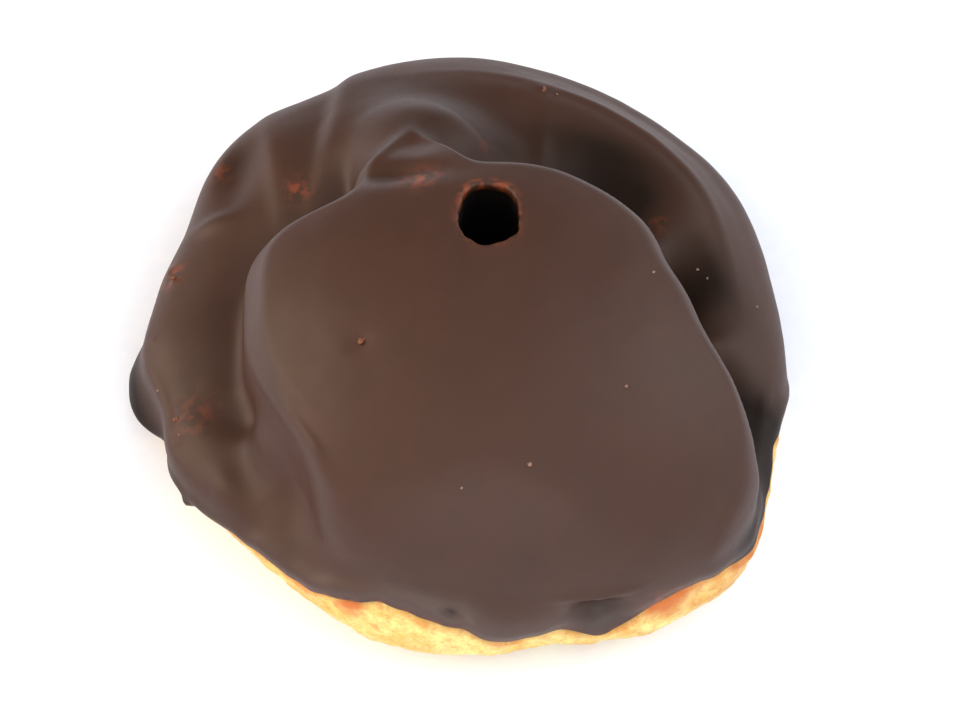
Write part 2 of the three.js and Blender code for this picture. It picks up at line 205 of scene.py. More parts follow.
# Small bubbles set in the coat: place, half size, rise.
BUBBLES = [
    ((-37.3, -5.9, 14.6), 0.7, 0.35), ((-35.9, -8.4, 15.0), 0.8, 0.40), ((-34.4, -10.9, 15.4), 0.7, 0.35),
    ((-36.5, -10.7, 13.9), 0.6, 0.30), ((-38.3, -3.4, 13.8), 0.6, 0.30), ((-38.9, 1.6, 13.7), 0.6, 0.25),
    ((-37.6, -7.9, 13.4), 0.5, 0.30), ((-35.0, -12.6, 13.6), 0.6, 0.30), ((-36.9, 12.0, 13.2), 0.8, 0.35),
    ((-36.2, 9.6, 14.4), 0.6, 0.30), ((10.4, 36.9, 17.4), 0.9, 0.40), ((12.3, 36.2, 17.4), 0.6, 0.30),
    ((8.4, 37.4, 17.4), 0.6, 0.25), ((-34.2, -17.6, 6.5), 0.9, 1.20),
]

# Crumbs of crust and pale flecks lying on the coat: plan place, size.
CRUST_CRUMBS = [((-11.7, -11.6), 0.8), ((10.9, 36.6), 0.8), ((-36.4, 10.4), 0.7), ((-35.4, -9.6), 0.7)]
PALE_FLECKS = [
    ((23.3, -1.9), 0.45), ((19.7, -17.1), 0.40), ((8.2, -26.4), 0.45), ((0.2, -28.6), 0.40),
    ((30.0, 9.5), 0.45), ((37.5, 5.6), 0.40), ((31.2, 8.2), 0.30), ((12.6, 36.0), 0.40),
    ((-37.9, -5.0), 0.35), ((-34.9, -11.9), 0.40),
]
# Their make: facets, waves of the radius and their length, range of stretch, flatness, lift.
CRUMB = {"rows": 7, "columns": 12, "waves": 0.22, "length": 1.4,
         "least": 0.6, "most": 1.2, "flat": 0.7, "lift": 0.15}

# A random field: cosines in it, and the range of their wavelengths.
RIPPLE = {"count": 28, "least": 0.7, "most": 1.5}
# How the coat thins to its edge and fills the moat: share left, taper, share of the moat, its start.
COAT_TAPER = {"edge": 0.42, "over": 4.0, "fill": 0.25, "start": 0.5}
# Slow unevenness of the set coat and crags of the bare crust: rise, wavelength, seed.
COAT_LIE = [(0.03, 9.0, 3), (0.008, 3.5, 4)]
CRAGS = [(0.10, 6.0, 11), (0.05, 2.4, 12), (0.02, 1.2, 13)]
# The rounded foot of the coat, row by row: drop below its edge, share of its thickness there.
FOOT_DROPS = (0.15, 0.25, 0.15)
FOOT_SHARES = (0.2, 0.5, 0.8)
# Warm tone at the hole's rim and at the lower edge, and gloss of the front edge, each with a half width.
RIM_TONE = {"half": 0.6, "least": 0.25, "more": 0.75, "at": 105, "wide": 55}
EDGE_TONE = {"half": 0.5, "strength": 0.4}
FRONT_GLOSS = {"half": 2.0, "at": -80, "wide": 50, "rise": 0.42}
# Mirror share of the plain coat and of the coat where shade is painted.
MIRROR = {"plain": 0.36, "painted_shade": 0.08}
# Rows of facets: under the coat, on the bun below the coat, on its bare crust and down its hole.
INNER_ROWS = 24
COVERED_ROWS = 110
CRUST_ROWS = 42
WALL_ROWS = 12
# Clearance between coat and bun, and how the bun sinks away from the coat's edge and the hole.
GAP = 0.08
BURIAL = {"deep": 1.6, "edge": 3.0, "hole": 6.0, "over": 4.0}
# The bare crust: where it comes out below the coat, how flush it is, and where its crags fade in and out.
BARE = {"start": 0.2, "over": 0.9, "flush": 0.05, "crags_from": 2.0, "crags_to": 1.5, "sink": 0.1}
# Rings of the base, as shares of its radius.
BASE_SHARES = (0.7, 0.4, 0.15)
# Browning of the crust by its crags, near the floor and along the coat's edge; extent of the shade painted
# down the hole.
BAKING = {"crag_least": 0.15, "crag_more": 2.0, "crag": 0.6, "floor": 0.6, "floor_high": 1.5,
          "seam": 0.35, "seam_drop": 0.9, "seam_half": 0.5}
HOLE_SHADE = {"beyond": 0.9, "above": 1.0}

# The stage: half the floor's side, the lights (place and size in metres, watts, tint) and the light tent.
FLOOR_HALF = 3.0
SOFTBOXES = [
    ("left_softbox", (-0.78, 0.06, 0.30), 0.80, 7.4, (1.0, 0.88, 0.74)),
    ("right_softbox", (0.70, 0.05, 0.52), 0.70, 3.4, (1.0, 1.0, 1.0)),
    ("front_softbox", (-0.05, -0.85, 0.30), 0.70, 2.3, (1.0, 1.0, 1.0)),
    ("rim_softbox", (0.52, 0.58, 0.10), 0.50, 0.9, (1.0, 1.0, 1.0)),
]
TENT = {"lean": (0.0, -0.40, 0.31), "from": -0.5, "to": 0.6, "dark": 0.04, "bright": 1.62}
ROOM = {"plain": (1.0, 1.0, 1.0, 1.0), "warm": (1.0, 0.80, 0.57, 1.0), "left": -0.8}
# The photograph: size in pixels, pixels to a millimetre, pixel of the base's middle, height aimed at.
PHOTO = {"wide": 960, "high": 716, "per_mm": 8.0, "base": (460.0, 407.0), "aim_z": 18.0}


def linear(hex_colour):
    """A colour given as sRGB hex digits, turned to linear light with full alpha."""
    parts = [int(hex_colour[i:i + 2], 16) / 255 for i in (1, 3, 5)]
    return [p / 12.92 if p <= 0.04045 else ((p + 0.055) / 1.055) ** 2.4 for p in parts] + [1.0]


def bell(angle, at, wide):
    """A bell curve over an angle in degrees: one at its middle, falling by e at its half width."""
    off = (angle - at + 180.0) % 360.0 - 180.0
    return np.exp(-((off / wide) ** 2))


def swollen(base, swells, angle):
    """A base value plus a bell for each swell round the azimuth."""
    return base + sum(out * bell(angle, at, wide) for at, wide, out in swells)


def smooth_max(a, b, blend):
    """The larger of two fields, rounded where they are within the blend of each other."""
    near = np.maximum(blend - np.abs(a - b), 0.0) / blend
    return np.maximum(a, b) + near * near * blend / 4


def smooth_min(a, b, blend):
    """The smaller of two fields, rounded in the same way."""
    return -smooth_max(-a, -b, blend)


def turned(x, y, at, turn):
    """Plan coordinates about a place, turned by an angle in degrees."""
    c, s = math.cos(math.radians(turn)), math.sin(math.radians(turn))
    return (x - at[0]) * c + (y - at[1]) * s, (y - at[1]) * c - (x - at[0]) * s


def about(centre, x, y):
    """Plan distance of points from a centre, and their azimuth about it in degrees."""
    dx, dy = x - centre["x"], y - centre["y"]
    return np.hypot(dx, dy), np.degrees(np.arctan2(dy, dx))


def ellipsoid(x, y, z, at, radii, turn):
    """Nearly the distance to an ellipsoid: its scaled radius times the excess over one, over the slope."""
    u, w = turned(x, y, at, turn)
    v = z - at[2]
    k0 = np.sqrt((u / radii[0]) ** 2 + (w / radii[1]) ** 2 + (v / radii[2]) ** 2)
    k1 = np.sqrt((u / radii[0] ** 2) ** 2 + (w / radii[1] ** 2) ** 2 + (v / radii[2] ** 2) ** 2)
    return k0 * (k0 - 1.0) / np.maximum(k1, 1e-9)


def ring_field(x, y, z):
    """The baked ring: a flat superellipsoid whose radius swells round the azimuth, joined by its lobes."""
    rho, angle = about(RING, x, y)
    big = swollen(RING["r"], RING_SWELLS, angle)
    dz = z - RING["equator"]
    tall = np.where(dz > 0, RING["up"], RING["down"])
    power = RING["power"]
    s = ((rho / big) ** power + (np.abs(dz) / tall) ** power) ** (1.0 / power)
    form = np.hypot(rho, dz) * (1.0 - 1.0 / np.maximum(s, 1e-6))
    for at, radii, turn, blend in RING_LOBES:
        form = smooth_min(form, ellipsoid(x, y, z, at, radii, turn), blend)
    return form


def cap_field(x, y, z, rho, angle):
    """The smooth cap: a dome cut by a wall along its outline, their edge bevelled, rounded in front."""
    tuck = CAP["tuck"] * (np.maximum(RING["equator"] - z, 0.0) / RING["equator"]) ** 2
    lean = swollen(CAP_LEAN, CAP_LEANS, angle)
    drop = np.clip(CAP["lean_from"] - z, 0.0, CAP["lean_over"])
    wall = rho - swollen(CAP["r"], CAP_SWELLS, angle) - lean * drop + tuck
    dome = ellipsoid(x, y, z, *DOME)
    front = bell(angle, *CAP_FRONT)
    edge = smooth_max(dome, wall, CAP_LIP["round"] + CAP_LIP["front_round"] * front)
    wide = CAP_LIP["bevel"] + CAP_LIP["left_bevel"] * bell(angle, *CAP_LEFT)
    bevel = (dome + wall + wide * (1.0 - CAP_LIP["front_fade"] * front)) / math.sqrt(2)
    return smooth_max(edge, bevel, CAP_LIP["bevel_round"])


def relief(x, y, z):
    """Rises and hollows as bells in three directions, crests as bells across a circle, folds as steps."""
    total = 0.0
    for at, half, turn, rise in RELIEF + FINE_RELIEF:
        u, w = turned(x, y, at, turn)
        off = (u / half[0]) ** 2 + (w / half[1]) ** 2 + ((z - at[2]) / half[2]) ** 2
        total = total + rise * np.exp(-off)
    rho, angle = about(RING, x, y)
    big = swollen(RING["r"], RING_SWELLS, angle)
    upper = np.clip((z - RING["equator"]) / RIDGE_RISE, 0.0, 1.0)
    for at, wide, share, half, rise in RIDGES + CRESTS:
        total = total + rise * upper * bell(angle, at, wide) * np.exp(-(((rho - share * big) / half) ** 2))
    for at, turn, soft, along, reach, high, rise in FOLDS:
        u, w = turned(x, y, at, turn)
        fade = (np.maximum(u, 0.0) / reach) ** 2 + (w / along) ** 2 + ((z - at[2]) / high) ** 2
        total = total + rise * (0.5 + 0.5 * np.tanh(u / soft)) * np.exp(-fade)
    return total


def moat_depth(cap, angle):
    """How deep the moat is round the cap: swelling with the azimuth, fading away from the cap's wall."""
    depth = np.maximum(swollen(MOAT["depth"], MOAT_SWELLS, angle), 0.0)
    return depth * np.exp(-((np.maximum(cap, 0.0) / swollen(MOAT["wide"], MOAT_WIDTHS, angle)) ** 2))


def ring_and_cap(x, y, z):
    """The fields of the ring with its moat and of the cap, and the azimuth about the cap."""
    rho, angle = about(CAP, x, y)
    cap = cap_field(x, y, z, rho, angle)
    above = np.clip((z - RING["equator"]) / MOAT["rise"], 0.0, 1.0)
    return ring_field(x, y, z) + above * moat_depth(cap, angle), cap, angle


def field(x, y, z):
    """Negative inside the puff, zero on its outer face: ring and moat, cap and lobes, less the relief."""
    ring, cap, angle = ring_and_cap(x, y, z)
    blend = CAP_BLEND["behind"] + CAP_BLEND["front"] * bell(angle, *CAP_FRONT_FOOT)
    form = smooth_min(ring, cap, blend)
    for at, radii, turn, blend in TOP_LOBES:
        form = smooth_min(form, ellipsoid(x, y, z, at, radii, turn), blend)
    return form - relief(x, y, z)


def halved(inside, outside, is_outside, times):
    """Where a test changes between two bounds, found by halving the way between them."""
    for _ in range(times):
        mid = (inside + outside) / 2
        over = is_outside(mid)
        outside = np.where(over, mid, outside)
        inside = np.where(over, inside, mid)
    return (inside + outside) / 2


def reach_of(azimuth, polar, z0=CORE_Z):
    """How far a ray from the hole's axis runs before it leaves the puff."""
    dx, dy, dz = np.sin(polar) * np.cos(azimuth), np.sin(polar) * np.sin(azimuth), np.cos(polar)
    near = -z0 / dz if z0 < 0 else np.full_like(dx, SEARCH["near"])
    far = np.full_like(dx, SEARCH["far"])

    def is_outside(r):
        return field(HOLE["x"] + r * dx, HOLE["y"] + r * dy, z0 + r * dz) > 0

    return halved(near, far, is_outside, HALVINGS["reach"])


def outer_face(azimuth, polar):
    """Points of the outer face on rays of given azimuth and polar angle, and the unit normals there."""
    reach = reach_of(azimuth, polar)
    at = np.stack([
        HOLE["x"] + reach * np.sin(polar) * np.cos(azimuth),
        HOLE["y"] + reach * np.sin(polar) * np.sin(azimuth),
        CORE_Z + reach * np.cos(polar),
    ], -1)
    slope = np.stack([
        field(*np.moveaxis(at + step, -1, 0)) - field(*np.moveaxis(at - step, -1, 0))
        for step in SEARCH["step"] * np.eye(3)
    ], -1)
    return at, slope / np.linalg.norm(slope, axis=-1, keepdims=True)


def sunk(at, normal, depth):
    """Points a depth below the outer face, measured square to it and taken toward the puff's middle."""
    out = at - np.array([HOLE["x"], HOLE["y"], MIDDLE_Z])
    far = np.linalg.norm(out, axis=-1)
    facing = np.maximum((normal * out).sum(-1) / far, STEEPEST)
    return at - out * (depth / (facing * far))[..., None]


def polar_at_height(azimuth, height):
    """The polar angle of the ray that leaves the puff at a given height."""
    high, low = (np.full_like(azimuth, math.radians(angle)) for angle in SEARCH["polar"])

    def is_below(polar):
        return CORE_Z + reach_of(azimuth, polar) * np.cos(polar) <= height

    return halved(high, low, is_below, HALVINGS["polar"])


def waved(waves, azimuth):
    """A sum of cosines round the azimuth, each with its count, the azimuth of a crest and its height."""
    degrees = np.degrees(azimuth)
    return sum(rise * np.cos(np.radians(count * (degrees - at))) for count, at, rise in waves)


def hole_radius(base, azimuth):
    """The hole's radius round the azimuth: a base times slow waves and the quick ones of a ragged rim."""
    return base * (1.0 + waved(HOLE_WAVES, azimuth))


def coat_depth(thick, above_edge):
    """The coat's thickness at a height above its lower edge: full from 4 mm up, thinning to a feather."""
    edge = COAT_TAPER["edge"]
    return thick * (edge + (1.0 - edge) * np.clip(above_edge / COAT_TAPER["over"], 0.0, 1.0))


def coat_under(at, thick, edge_z):
    """The coat's thickness at points of its outer face: even, thinner at the edge, thicker in the moat."""
    x, y, z = np.moveaxis(at, -1, 0)
    _, cap, angle = ring_and_cap(x, y, z)
    fill = COAT_TAPER["fill"] * moat_depth(cap, angle) * np.clip(cap / COAT_TAPER["start"], 0.0, 1.0)
    return coat_depth(thick, z - edge_z) + fill


def ripple(points, length, seed):
    """A smooth random field of about unit size: cosines of one wavelength range in many directions."""
    count = RIPPLE["count"]
    rng = np.random.default_rng(seed)
    heading = rng.normal(size=(count, 3))
    waves = 2 * math.pi / (length * rng.uniform(RIPPLE["least"], RIPPLE["most"], count))
    heading *= (waves / np.linalg.norm(heading, axis=1))[:, None]
    phase = rng.uniform(0, 2 * math.pi, count)
    return np.cos(points @ heading.T + phase).sum(-1) * math.sqrt(2.0 / count)


def rough(points, table):
    """A sum of random fields at points, each with its rise, wavelength and seed."""
    return sum(rise * ripple(points, length, seed) for rise, length, seed in table)


def spots(points, table):
    """The sum of round bells at the places of a table, each with its half size and strength."""
    total = np.zeros(points.shape[:-1])
    for at, half, strength in table:
        total += strength * np.exp(-(((points - np.array(at)) ** 2).sum(-1)) / half ** 2)
    return total


def painted_shade_share(points):
    """How much shade is painted on the coat: along arcs of the moat, fading outward, at spots and at the
    foot.
    """
    x, y, z = np.moveaxis(points, -1, 0)
    _, cap, angle = ring_and_cap(x, y, z)
    arcs = sum(
        strength * bell(angle, at, wide) * np.exp(-((np.maximum(cap - reach, 0.0) / SHADE_FADE) ** 2))
        for at, wide, reach, strength in SHADE_ARCS
    ) * np.clip(cap / SHADE_START, 0.0, 1.0)
    _, round_hole = about(HOLE, x, y)
    above = np.maximum(z - edge_heights(np.radians(round_hole)), 0.0)
    foot = np.exp(-((above / FOOT_SHADE_FADE) ** 2)) * swollen(0.0, FOOT_SHADES, round_hole)
    return np.clip(arcs + spots(points, SHADE_SPOTS) + foot, 0.0, 1.0)


def row_shares(rows, first, last):
    """Shares of the way from hole to edge that give rows of equal mean length along the surface."""
    azimuth = np.radians(np.arange(0, 360, ROW_SURVEY["degrees"]))
    shares = np.linspace(0, 1, ROW_SURVEY["steps"])
    polar = first + (last - first) * shares
    at, _ = outer_face(*np.meshgrid(azimuth, polar))
    steps = np.linalg.norm(np.diff(at, axis=0), axis=2).mean(1)
    length = np.concatenate([[0.0], np.cumsum(steps)])
    return np.interp(np.linspace(0, length[-1], rows + 1), length, shares)


def skin(rings, ends=None):
    """Vertices and faces over rings of points: round in a loop, or closed at both ends by a middle point."""
    rows, columns = rings.shape[:2]
    points = rings.reshape(-1, 3)
    bands = rows if ends is None else rows - 1
    i = np.arange(bands)[:, None] * columns
    below = ((np.arange(bands)[:, None] + 1) % rows) * columns
    j = np.arange(columns)[None, :]
    beside = (j + 1) % columns
    faces = [np.stack([i + j, below + j, below + beside, i + beside], -1).reshape(-1, 4)]
    if ends is not None:
        first, last = len(points), len(points) + 1
        points = np.concatenate([points, np.array(ends)])
        j, beside = j[0], beside[0]
        end = (rows - 1) * columns
        faces.append(np.stack([np.full(columns, first), j, beside], -1))
        faces.append(np.stack([np.full(columns, last), end + beside, end + j], -1))
    return points, faces


def new_piece(name, points, faces, attributes, material):
    """A mesh object at the origin from millimetre points in the form's plan, with its point attributes."""
    mesh = bpy.data.meshes.new(name)
    placed = (points - np.array([PLAN_CENTRE[0], PLAN_CENTRE[1], 0.0])) * MM
    loops = np.concatenate([f.ravel() for f in faces]).astype(np.int32)
    sizes = np.concatenate([np.full(len(f), f.shape[1]) for f in faces]).astype(np.int32)
    mesh.vertices.add(len(placed))
    mesh.vertices.foreach_set("co", placed.astype(np.float32).ravel())
    mesh.loops.add(len(loops))
    mesh.loops.foreach_set("vertex_index", loops)
    mesh.polygons.add(len(sizes))
    mesh.polygons.foreach_set("loop_start", np.concatenate([[0], np.cumsum(sizes)[:-1]]).astype(np.int32))
    mesh.update()
    mesh.validate()
    for key, values in attributes.items():
        layer = mesh.attributes.new(key, "FLOAT", "POINT")
        layer.data.foreach_set("value", values.astype(np.float32).ravel())
    mesh.shade_smooth()
    mesh.materials.append(material)
    piece = bpy.data.objects.new(name, mesh)
    bpy.context.scene.collection.objects.link(piece)
    return piece


def add(tree, kind, settings=None, **links):
    """Adds a node, sets its properties and input values, and links named inputs to other nodes' outputs."""
    made = tree.nodes.new(kind)
    for key, value in (settings or {}).items():
        if hasattr(made, key):
            setattr(made, key, value)
        else:
            made.inputs[key].default_value = value
    for key, (source, socket) in links.items():
        tree.links.new(source.outputs[socket], made.inputs[key.replace("_", " ")])
    return made


def noise(tree, place, size, **shape):
    """A noise texture of a size in millimetres, fixed to the piece."""
    return add(tree, "ShaderNodeTexNoise", {"Scale": 1 / (size * MM), **shape}, Vector=(place, "Object"))


def tinted(tree, under, colour, by):
    """Mixes a colour over a mix node's own, by a factor from a node's socket."""
    mixed = add(tree, "ShaderNodeMix", {"data_type": "RGBA", "B": colour}, Factor=by)
    tree.links.new(under.outputs[2], mixed.inputs[6])
    return mixed


def empty_material(name):
    """A node material with only its output left."""
    material = bpy.data.materials.new(name)
    material.use_nodes = True
    tree = material.node_tree
    tree.nodes.clear()
    return material, tree, tree.nodes.new("ShaderNodeOutputMaterial")


def chocolate_material(settings):
    """Dark couverture, dipped and set: a satin skin, warm where thin, with faint mottling, fine grain and
    painted shade in its hollows.
    """
    material, tree, output = empty_material("dark_couverture_dipped_and_set")
    place = add(tree, "ShaderNodeTexCoord")
    # Mottling about 7 mm across gives the eye the slow shift of tone in a hand-dipped coat.
    mottle = noise(tree, place, 7, Detail=6.0, Roughness=0.65)
    tones = {"data_type": "RGBA", "A": settings.coat_dark, "B": settings.coat_light}
    tone = add(tree, "ShaderNodeMix", tones, Factor=(mottle, "Fac"))
    # Where the coat is thin the crust warms it, in patches broken up at about 1.2 mm.
    thin = add(tree, "ShaderNodeAttribute", {"attribute_name": "thin"})
    patch = noise(tree, place, 1.2, Detail=4.0)
    broken = add(tree, "ShaderNodeMapRange", {"From Min": 0.42, "From Max": 0.60}, Value=(patch, "Fac"))
    warm = add(tree, "ShaderNodeMath", {"operation": "MULTIPLY", "use_clamp": True})
    tree.links.new(thin.outputs["Fac"], warm.inputs[0])
    tree.links.new(broken.outputs["Result"], warm.inputs[1])
    warmed = tinted(tree, tone, settings.coat_thin, (warm, "Value"))
    # Painted shade: the hollows, the moat and the coat's foot are tinted nearly black and catch little light,
    # standing in for the shade that falls there.
    painted_shade = add(tree, "ShaderNodeAttribute", {"attribute_name": "painted_shade"})
    colour = tinted(tree, warmed, settings.coat_painted_shade, (painted_shade, "Fac"))
    mirror = add(tree, "ShaderNodeMapRange", {"To Min": MIRROR["plain"], "To Max": MIRROR["painted_shade"]},
                 Value=(painted_shade, "Fac"))
    # The bead at the front edge set last and smoothest, so that it mirrors the pale floor as a grey sheen.
    run = add(tree, "ShaderNodeAttribute", {"attribute_name": "run"})
    gloss = add(tree, "ShaderNodeMath", {"operation": "MULTIPLY_ADD"})
    gloss.inputs[1].default_value = FRONT_GLOSS["rise"]
    tree.links.new(run.outputs["Fac"], gloss.inputs[0])
    tree.links.new(mirror.outputs["Result"], gloss.inputs[2])
    # Grain of 0.5 mm, coarser than the real crystals so that it shows, breaks the sheen into satin.
    grain = noise(tree, place, 0.5, Detail=2.0)
    sheen = add(tree, "ShaderNodeMapRange", {"To Min": 0.44, "To Max": 0.56}, Value=(grain, "Fac"))
    bump = add(tree, "ShaderNodeBump", {"Strength": 0.10, "Distance": 0.10 * MM}, Height=(grain, "Fac"))
    # Cocoa butter's index, with the plain coat's mirror share on the socket under the link.
    shader = add(tree, "ShaderNodeBsdfPrincipled", {"IOR": 1.47, "Specular IOR Level": MIRROR["plain"]})
    tree.links.new(colour.outputs[2], shader.inputs["Base Color"])
    tree.links.new(sheen.outputs["Result"], shader.inputs["Roughness"])
    tree.links.new(gloss.outputs["Value"], shader.inputs["Specular IOR Level"])
    tree.links.new(bump.outputs["Normal"], shader.inputs["Normal"])
    tree.links.new(shader.outputs["BSDF"], output.inputs["Surface"])
    return material


def crust_material(settings):
    """Baked choux pastry: dry, golden and uneven, browner on its crags, and painted near black down in the
    filling hole as its shade.
    """
    material, tree, output = empty_material("choux_pastry_baked_golden")
    place = add(tree, "ShaderNodeTexCoord")
    # Browning in patches about 5 mm across, as steam and hot air reach the crust unevenly.
    browning = noise(tree, place, 5, Detail=8.0, Roughness=0.85)
    patches = add(tree, "ShaderNodeMapRange", {"From Min": 0.43, "From Max": 0.58}, Value=(browning, "Fac"))
    tones = {"data_type": "RGBA", "A": settings.crust_pale, "B": settings.crust_golden}
    golden = add(tree, "ShaderNodeMix", tones, Factor=(patches, "Result"))
    # Toasted grains of up to 1.4 mm roughen the gold, as on any unglazed crust.
    grain = noise(tree, place, 1.4, Detail=5.0, Roughness=0.75)
    toast = add(tree, "ShaderNodeMapRange", {"From Min": 0.50, "From Max": 0.66, "To Max": 0.5},
                Value=(grain, "Fac"))
    toasted = tinted(tree, golden, settings.crust_brown, (toast, "Result"))
    baked = add(tree, "ShaderNodeAttribute", {"attribute_name": "baked"})
    brown = tinted(tree, toasted, settings.crust_brown, (baked, "Fac"))
    # The crust down the filling hole is painted near black as the shade deep in the hole.
    inside = add(tree, "ShaderNodeAttribute", {"attribute_name": "inside"})
    colour = tinted(tree, brown, settings.hole_painted_shade, (inside, "Fac"))
    # Wrinkles about 1.2 mm apart and 0.4 mm deep make the crust look dry and crisp.
    wrinkle = noise(tree, place, 1.2, Detail=4.0, Roughness=0.6)
    bump = add(tree, "ShaderNodeBump", {"Strength": 0.8, "Distance": 0.4 * MM}, Height=(wrinkle, "Fac"))
    shader = add(tree, "ShaderNodeBsdfPrincipled", {"Roughness": 0.62, "IOR": 1.45})
    tree.links.new(colour.outputs[2], shader.inputs["Base Color"])
    tree.links.new(bump.outputs["Normal"], shader.inputs["Normal"])
    tree.links.new(shader.outputs["BSDF"], output.inputs["Surface"])
    return material


def crumb_material(name, colour, spread_colour):
    """Broken crumb of pastry or sugar: dry and matt, its tone shifting from grain to grain."""
    material, tree, output = empty_material(name)
    place = add(tree, "ShaderNodeTexCoord")
    # Grain of 0.4 mm gives each fleck a broken, crumbly face.
    grain = noise(tree, place, 0.4, Detail=2.0)
    tone = add(tree, "ShaderNodeMix", {"data_type": "RGBA", "A": colour, "B": spread_colour},
               Factor=(grain, "Fac"))
    shader = add(tree, "ShaderNodeBsdfPrincipled", {"Roughness": 0.75, "IOR": 1.45})
    tree.links.new(tone.outputs[2], shader.inputs["Base Color"])
    tree.links.new(shader.outputs["BSDF"], output.inputs["Surface"])
    return material


def floor_material(settings):
    """Matt cool white card, laid flat: an even pale ground with a faint tooth."""
    material, tree, output = empty_material("matt_white_card")
    place = add(tree, "ShaderNodeTexCoord")
    # Paper tooth of 2 mm, drawn coarser than real card so that it shows at all.
    tooth = noise(tree, place, 2)
    tones = {"data_type": "RGBA", "A": settings.floor_white, "B": linear("#F0F5FF")}
    tone = add(tree, "ShaderNodeMix", tones, Factor=(tooth, "Fac"))
    shader = add(tree, "ShaderNodeBsdfPrincipled", {"Roughness": 0.95})
    tree.links.new(tone.outputs[2], shader.inputs["Base Color"])
    tree.links.new(shader.outputs["BSDF"], output.inputs["Surface"])
    return material


class CREAMPUFF_PG_settings(bpy.types.PropertyGroup):
    """Sizes and colours of the puff and its stage that a user would change."""

    coat_thick: bpy.props.FloatProperty(
        name="Coat thickness", description="How thick the set chocolate is", default=1.3 * MM, unit="LENGTH")
    coat_hole: bpy.props.FloatProperty(
        name="Coat hole radius", description="Radius of the hole's rim in the chocolate", default=4.5 * MM,
        unit="LENGTH")
    crust_hole: bpy.props.FloatProperty(
        name="Crust hole radius", description="Radius of the hole in the pastry", default=4.65 * MM,
        unit="LENGTH")
    hole_depth: bpy.props.FloatProperty(
        name="Hole depth", description="How far the filling hole goes down", default=20 * MM, unit="LENGTH")
    columns: bpy.props.IntProperty(
        name="Columns", description="Facets round the puff", default=540, min=80)
    coat_rows: bpy.props.IntProperty(
        name="Coat rows", description="Facets from the hole to the coat's edge", default=150, min=22)
    coat_dark: bpy.props.FloatVectorProperty(
        name="Chocolate, dark", description="Deepest tone of the coat", default=linear("#311A0F"), size=4,
        subtype="COLOR")
    coat_light: bpy.props.FloatVectorProperty(
        name="Chocolate, light", description="Lightest tone of the coat", default=linear("#3F2214"), size=4,
        subtype="COLOR")
    coat_thin: bpy.props.FloatVectorProperty(
        name="Chocolate, thin", description="Warm tone where the crust shows through",
        default=linear("#7A3A1E"), size=4, subtype="COLOR")
    # Near-black tone painted into the coat's hollows, moat and foot as shade.
    coat_painted_shade: bpy.props.FloatVectorProperty(
        name="Chocolate, pooled", description="Dark tone where the chocolate is thick",
        default=linear("#1A100B"), size=4, subtype="COLOR")
    crust_pale: bpy.props.FloatVectorProperty(
        name="Crust, pale", description="Palest tone of the pastry", default=linear("#E0D488"), size=4,
        subtype="COLOR")
    crust_golden: bpy.props.FloatVectorProperty(
        name="Crust, golden", description="Main tone of the pastry", default=linear("#D4AE58"), size=4,
        subtype="COLOR")
    crust_brown: bpy.props.FloatVectorProperty(
        name="Crust, brown", description="Browned tone of the pastry", default=linear("#B8662A"), size=4,
        subtype="COLOR")
    # Near-black tone painted down the filling hole as shade.
    hole_painted_shade: bpy.props.FloatVectorProperty(
        name="Hole, inside", description="Dark inside of the filling hole", default=linear("#0C0705"), size=4,
        subtype="COLOR")
    floor_white: bpy.props.FloatVectorProperty(
        name="Floor", description="Tone of the floor", default=linear("#E6EEFF"), size=4, subtype="COLOR")
    view_height: bpy.props.FloatProperty(
        name="View elevation", description="Camera's angle above the floor", default=math.radians(60),
        subtype="ANGLE")
    view_distance: bpy.props.FloatProperty(
        name="View distance", description="Camera's distance from the puff", default=450 * MM, unit="LENGTH")


def edge_heights(azimuth):
    """Height of the chocolate's lower edge round the azimuth: low behind, lifted in front, with waves."""
    return swollen(EDGE_Z, EDGE_RUNS, np.degrees(azimuth)) + waved(EDGE_WAVES, azimuth)


def covered_grid(settings, azimuth, rows):
    """The outer face and its normals on a grid from the coat's hole to its lower edge."""
    top = CORE_Z + reach_of(np.zeros(1), np.zeros(1))[0]
    rim = np.arctan2(hole_radius(settings.coat_hole / MM, azimuth), top - CORE_Z)
    edge = polar_at_height(azimuth, edge_heights(azimuth))
    shares = row_shares(rows, rim.mean(), edge.mean())
    polar = rim + (edge - rim) * shares[:, None]
    at, normal = outer_face(np.broadcast_to(azimuth, polar.shape), polar)
    return at, normal, top


